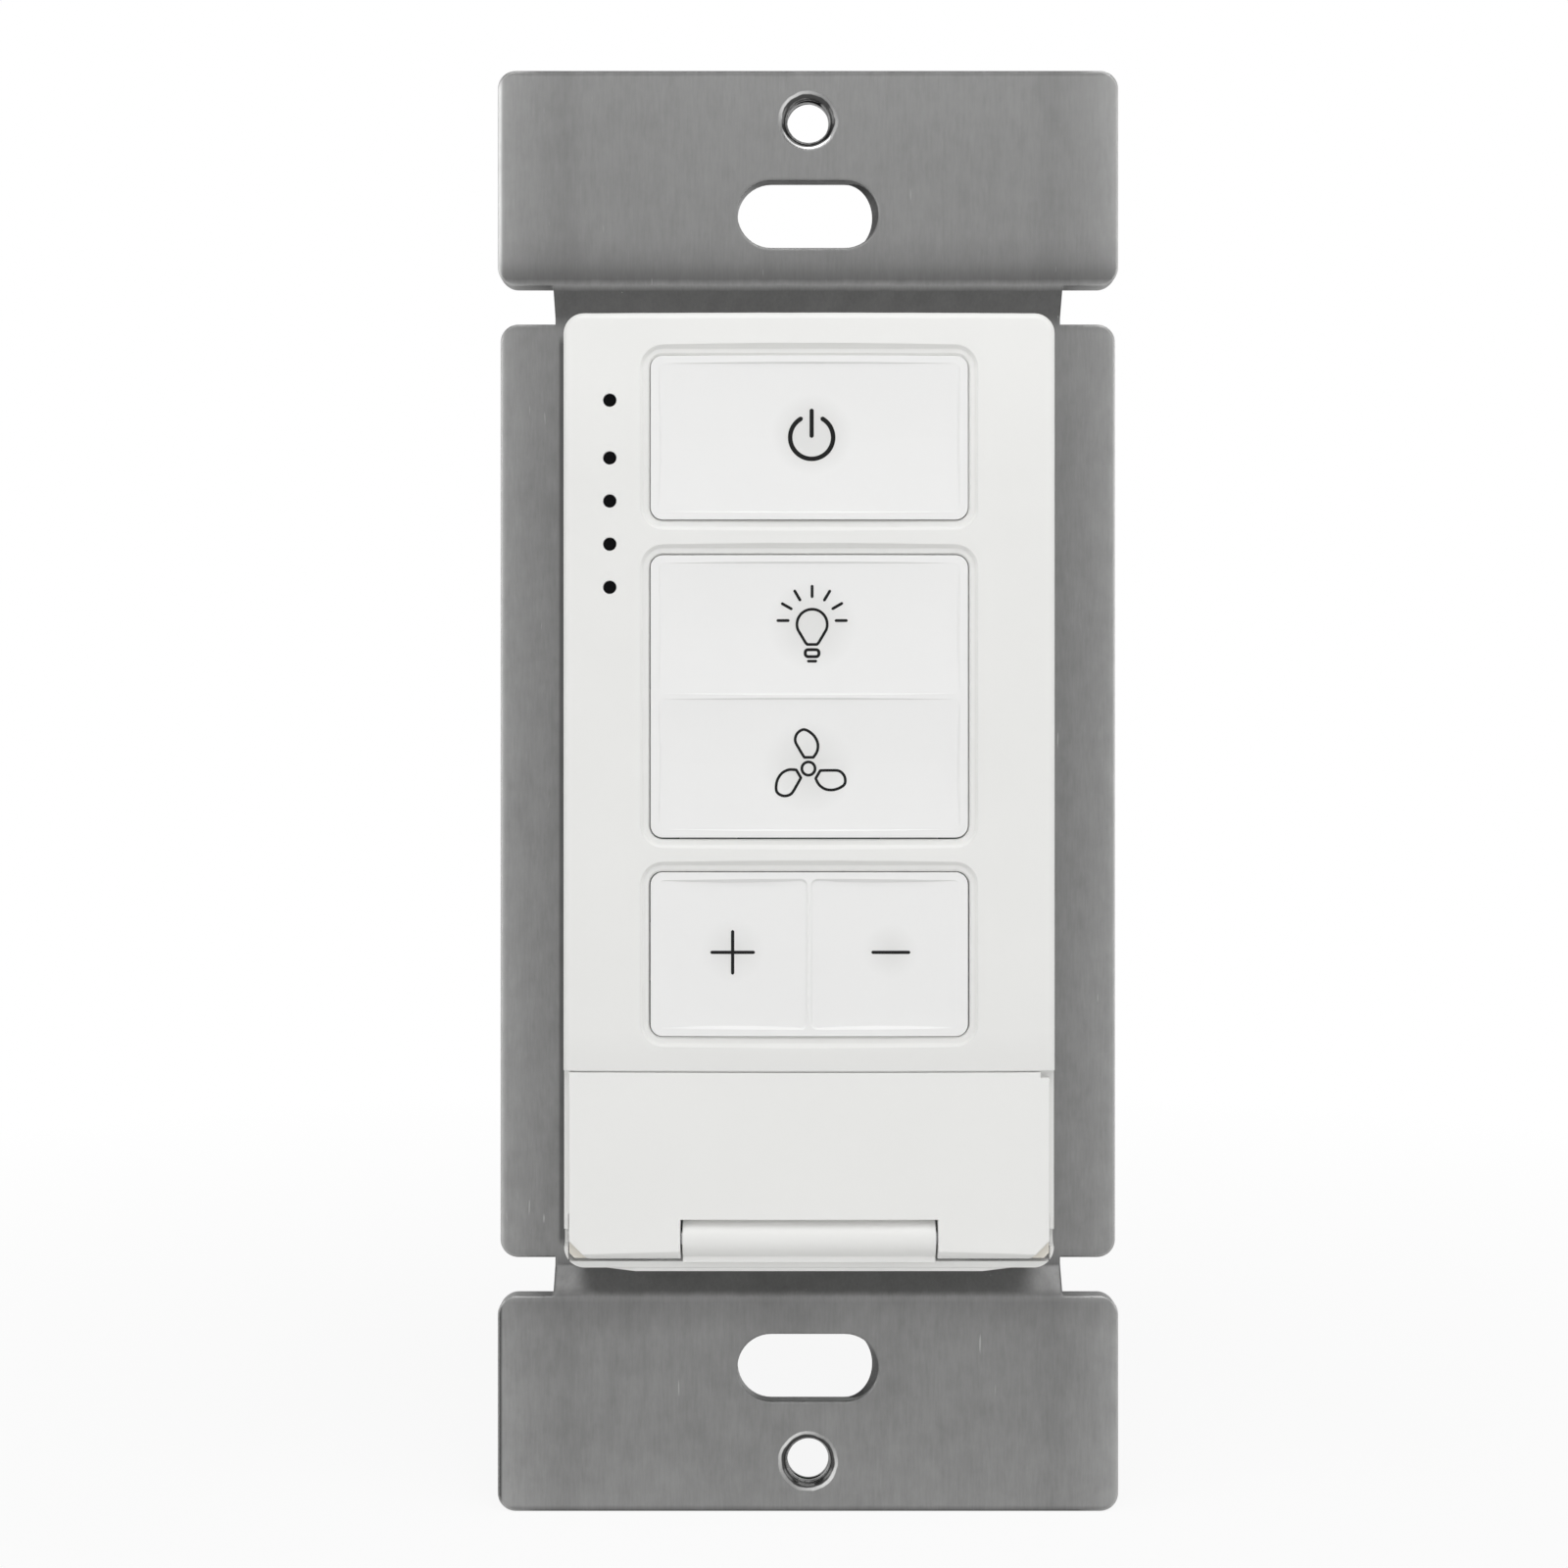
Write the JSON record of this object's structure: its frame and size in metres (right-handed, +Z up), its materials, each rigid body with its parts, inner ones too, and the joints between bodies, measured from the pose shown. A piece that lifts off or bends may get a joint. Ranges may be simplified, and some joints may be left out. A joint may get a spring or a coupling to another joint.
{
  "type": "dimmer and fan control switch",
  "caption": "Wall control for a ceiling fan with a light: grey steel strap, white face with power key, two see-saw keys, status light dots and a flip-down door.",
  "frame": {"origin": "midway between the two plate screw holes, on the back faces of the strap's ears, which lie on the wall", "axes": "+X to the right and +Z up as seen from the front, +Y into the wall"},
  "size_m": [0.0448, 0.041, 0.104],
  "materials": {
    "strap_steel": "zinc plated sheet, satin, rolled along its length",
    "face_plastic": "white moulded, satin",
    "key_plastic": "white moulded, fine satin",
    "door_plastic": "white moulded, satin",
    "guide_plastic": "smoke tinted, clear",
    "pin_steel": "bright steel",
    "lever_plastic": "white moulded, satin",
    "dial_plastic": "grey moulded",
    "switch_plastic": "black moulded",
    "plunger_plastic": "dark grey moulded",
    "board_laminate": "green coated laminate",
    "insulator_sheet": "ivory sheet",
    "chip_resin": "black moulded resin",
    "connector_plastic": "black moulded",
    "ferrite": "enamelled copper winding on a ring core",
    "can_aluminium": "drawn can",
    "relay_case": "blue moulded case",
    "capacitor_case": "cast film capacitor case",
    "varistor_coat": "blue dipped coating",
    "fuse_case": "black cap",
    "housing_plastic": "dark moulded, spark-eroded texture",
    "ground_steel": "green finished steel",
    "light_resin": "clear resin",
    "contact_brass": "stamped brass",
    "clamp_steel": "zinc plated steel",
    "screw_brass": "brass, turned",
    "screw_nickel": "nickel plated, turned"
  },
  "bodies": {
    "base": {"strap": "strap_steel", "face_frame": "face_plastic", "light_guide": "guide_plastic", "hinge_pin": "pin_steel", "air_gap_switch": "switch_plastic", "trimmer": "switch_plastic", "control_board": "board_laminate", "insulating_plate": "insulator_sheet", "control_chip": "chip_resin", "board_header": "connector_plastic", "board_socket": "connector_plastic", "power_board": "board_laminate", "triac_light": "chip_resin", "triac_fan": "chip_resin", "triac_screws": "pin_steel", "choke": "ferrite", "can_capacitor": "can_aluminium", "relay": "relay_case", "fan_capacitor_1": "capacitor_case", "fan_capacitor_2": "capacitor_case", "varistor": "varistor_coat", "fuse": "fuse_case", "back_housing": "housing_plastic", "housing_screws": "pin_steel", "ground_screw": "ground_steel", "power_switch": "switch_plastic", "light_switch": "switch_plastic", "fan_switch": "switch_plastic", "plus_switch": "switch_plastic", "minus_switch": "switch_plastic", "status_light_1": "light_resin", "status_light_2": "light_resin", "status_light_3": "light_resin", "status_light_4": "light_resin", "status_light_5": "light_resin", "line_contact": "contact_brass", "neutral_contact": "contact_brass", "light_contact": "contact_brass", "fan_contact": "contact_brass"},
    "power_key": {"power_key": "key_plastic"},
    "light_fan_key": {"light_fan_key": "key_plastic"},
    "level_key": {"level_key": "key_plastic"},
    "door": {"door": "door_plastic"},
    "air_gap_lever": {"air_gap_lever": "lever_plastic"},
    "trim_dial": {"trim_dial": "dial_plastic"},
    "power_plunger": {"power_plunger": "plunger_plastic"},
    "light_plunger": {"light_plunger": "plunger_plastic"},
    "fan_plunger": {"fan_plunger": "plunger_plastic"},
    "plus_plunger": {"plus_plunger": "plunger_plastic"},
    "minus_plunger": {"minus_plunger": "plunger_plastic"},
    "line_clamp": {"line_clamp": "clamp_steel"},
    "line_screw": {"line_screw": "screw_brass"},
    "neutral_clamp": {"neutral_clamp": "clamp_steel"},
    "neutral_screw": {"neutral_screw": "screw_nickel"},
    "light_clamp": {"light_clamp": "clamp_steel"},
    "light_screw": {"light_screw": "screw_brass"},
    "fan_clamp": {"fan_clamp": "clamp_steel"},
    "fan_screw": {"fan_screw": "screw_brass"}
  },
  "joints": [
    {"name": "power_press", "type": "slide", "parent": "base", "child": "power_key", "axis": [0, 1, 0], "range_m": [0, 0.0004], "stiffness_N_per_m": 400},
    {"name": "light_fan_rock", "type": "hinge", "parent": "base", "child": "light_fan_key", "pos_m": [0, -0.006, 0.00651], "axis": [1, 0, 0], "range_deg": [-2, 2]},
    {"name": "level_rock", "type": "hinge", "parent": "base", "child": "level_key", "pos_m": [0, -0.006, -0.01119], "axis": [0, 0, 1], "range_deg": [-2, 2]},
    {"name": "door_swing", "type": "hinge", "parent": "base", "child": "door", "pos_m": [0, -0.0072, -0.03085], "axis": [1, 0, 0], "range_deg": [0, 100]},
    {"name": "lever_slide", "type": "slide", "parent": "base", "child": "air_gap_lever", "axis": [1, 0, 0], "range_m": [0, 0.003]},
    {"name": "dial_turn", "type": "hinge", "parent": "base", "child": "trim_dial", "pos_m": [0.0066, -0.005, -0.02439], "axis": [0, 1, 0], "range_deg": [-135, 135]},
    {"name": "power_plunge", "type": "slide", "parent": "base", "child": "power_plunger", "axis": [0, 1, 0], "range_m": [0, 0.0004]},
    {"name": "light_plunge", "type": "slide", "parent": "base", "child": "light_plunger", "axis": [0, 1, 0], "range_m": [-0.00018, 0.00018], "stiffness_N_per_m": 7000},
    {"name": "fan_plunge", "type": "slide", "parent": "base", "child": "fan_plunger", "axis": [0, 1, 0], "range_m": [-0.00018, 0.00018]},
    {"name": "plus_plunge", "type": "slide", "parent": "base", "child": "plus_plunger", "axis": [0, 1, 0], "range_m": [-0.0002, 0.0002]},
    {"name": "minus_plunge", "type": "slide", "parent": "base", "child": "minus_plunger", "axis": [0, 1, 0], "range_m": [-0.0002, 0.0002], "stiffness_N_per_m": 6000},
    {"name": "line_lift", "type": "slide", "parent": "base", "child": "line_clamp", "axis": [-1, 0, 0], "range_m": [0, 0.0019]},
    {"name": "line_turn", "type": "hinge", "parent": "line_clamp", "child": "line_screw", "pos_m": [-0.0165, 0.022, 0.011], "axis": [-1, 0, 0], "range_deg": [0, 856]},
    {"name": "neutral_lift", "type": "slide", "parent": "base", "child": "neutral_clamp", "axis": [-1, 0, 0], "range_m": [0, 0.0019]},
    {"name": "neutral_turn", "type": "hinge", "parent": "neutral_clamp", "child": "neutral_screw", "pos_m": [-0.0165, 0.022, -0.011], "axis": [-1, 0, 0], "range_deg": [0, 856]},
    {"name": "light_lift", "type": "slide", "parent": "base", "child": "light_clamp", "axis": [1, 0, 0], "range_m": [0, 0.0019]},
    {"name": "light_turn", "type": "hinge", "parent": "light_clamp", "child": "light_screw", "pos_m": [0.0165, 0.022, 0.011], "axis": [1, 0, 0], "range_deg": [0, 856]},
    {"name": "fan_lift", "type": "slide", "parent": "base", "child": "fan_clamp", "axis": [1, 0, 0], "range_m": [0, 0.0019]},
    {"name": "fan_turn", "type": "hinge", "parent": "fan_clamp", "child": "fan_screw", "pos_m": [0.0165, 0.022, -0.011], "axis": [1, 0, 0], "range_deg": [0, 856]}
  ],
  "couplings": [
    {"joint": "power_plunge", "follows": "power_press", "ratio": 1},
    {"joint": "light_fan_rock", "follows": "light_plunge", "rad_per_m": -192.31},
    {"joint": "fan_plunge", "follows": "light_plunge", "ratio": -1},
    {"joint": "level_rock", "follows": "minus_plunge", "rad_per_m": 166.67},
    {"joint": "plus_plunge", "follows": "minus_plunge", "ratio": -1},
    {"joint": "line_turn", "follows": "line_lift", "rad_per_m": 7854},
    {"joint": "neutral_turn", "follows": "neutral_lift", "rad_per_m": 7854},
    {"joint": "light_turn", "follows": "light_lift", "rad_per_m": 7854},
    {"joint": "fan_turn", "follows": "fan_lift", "rad_per_m": 7854}
  ]
}
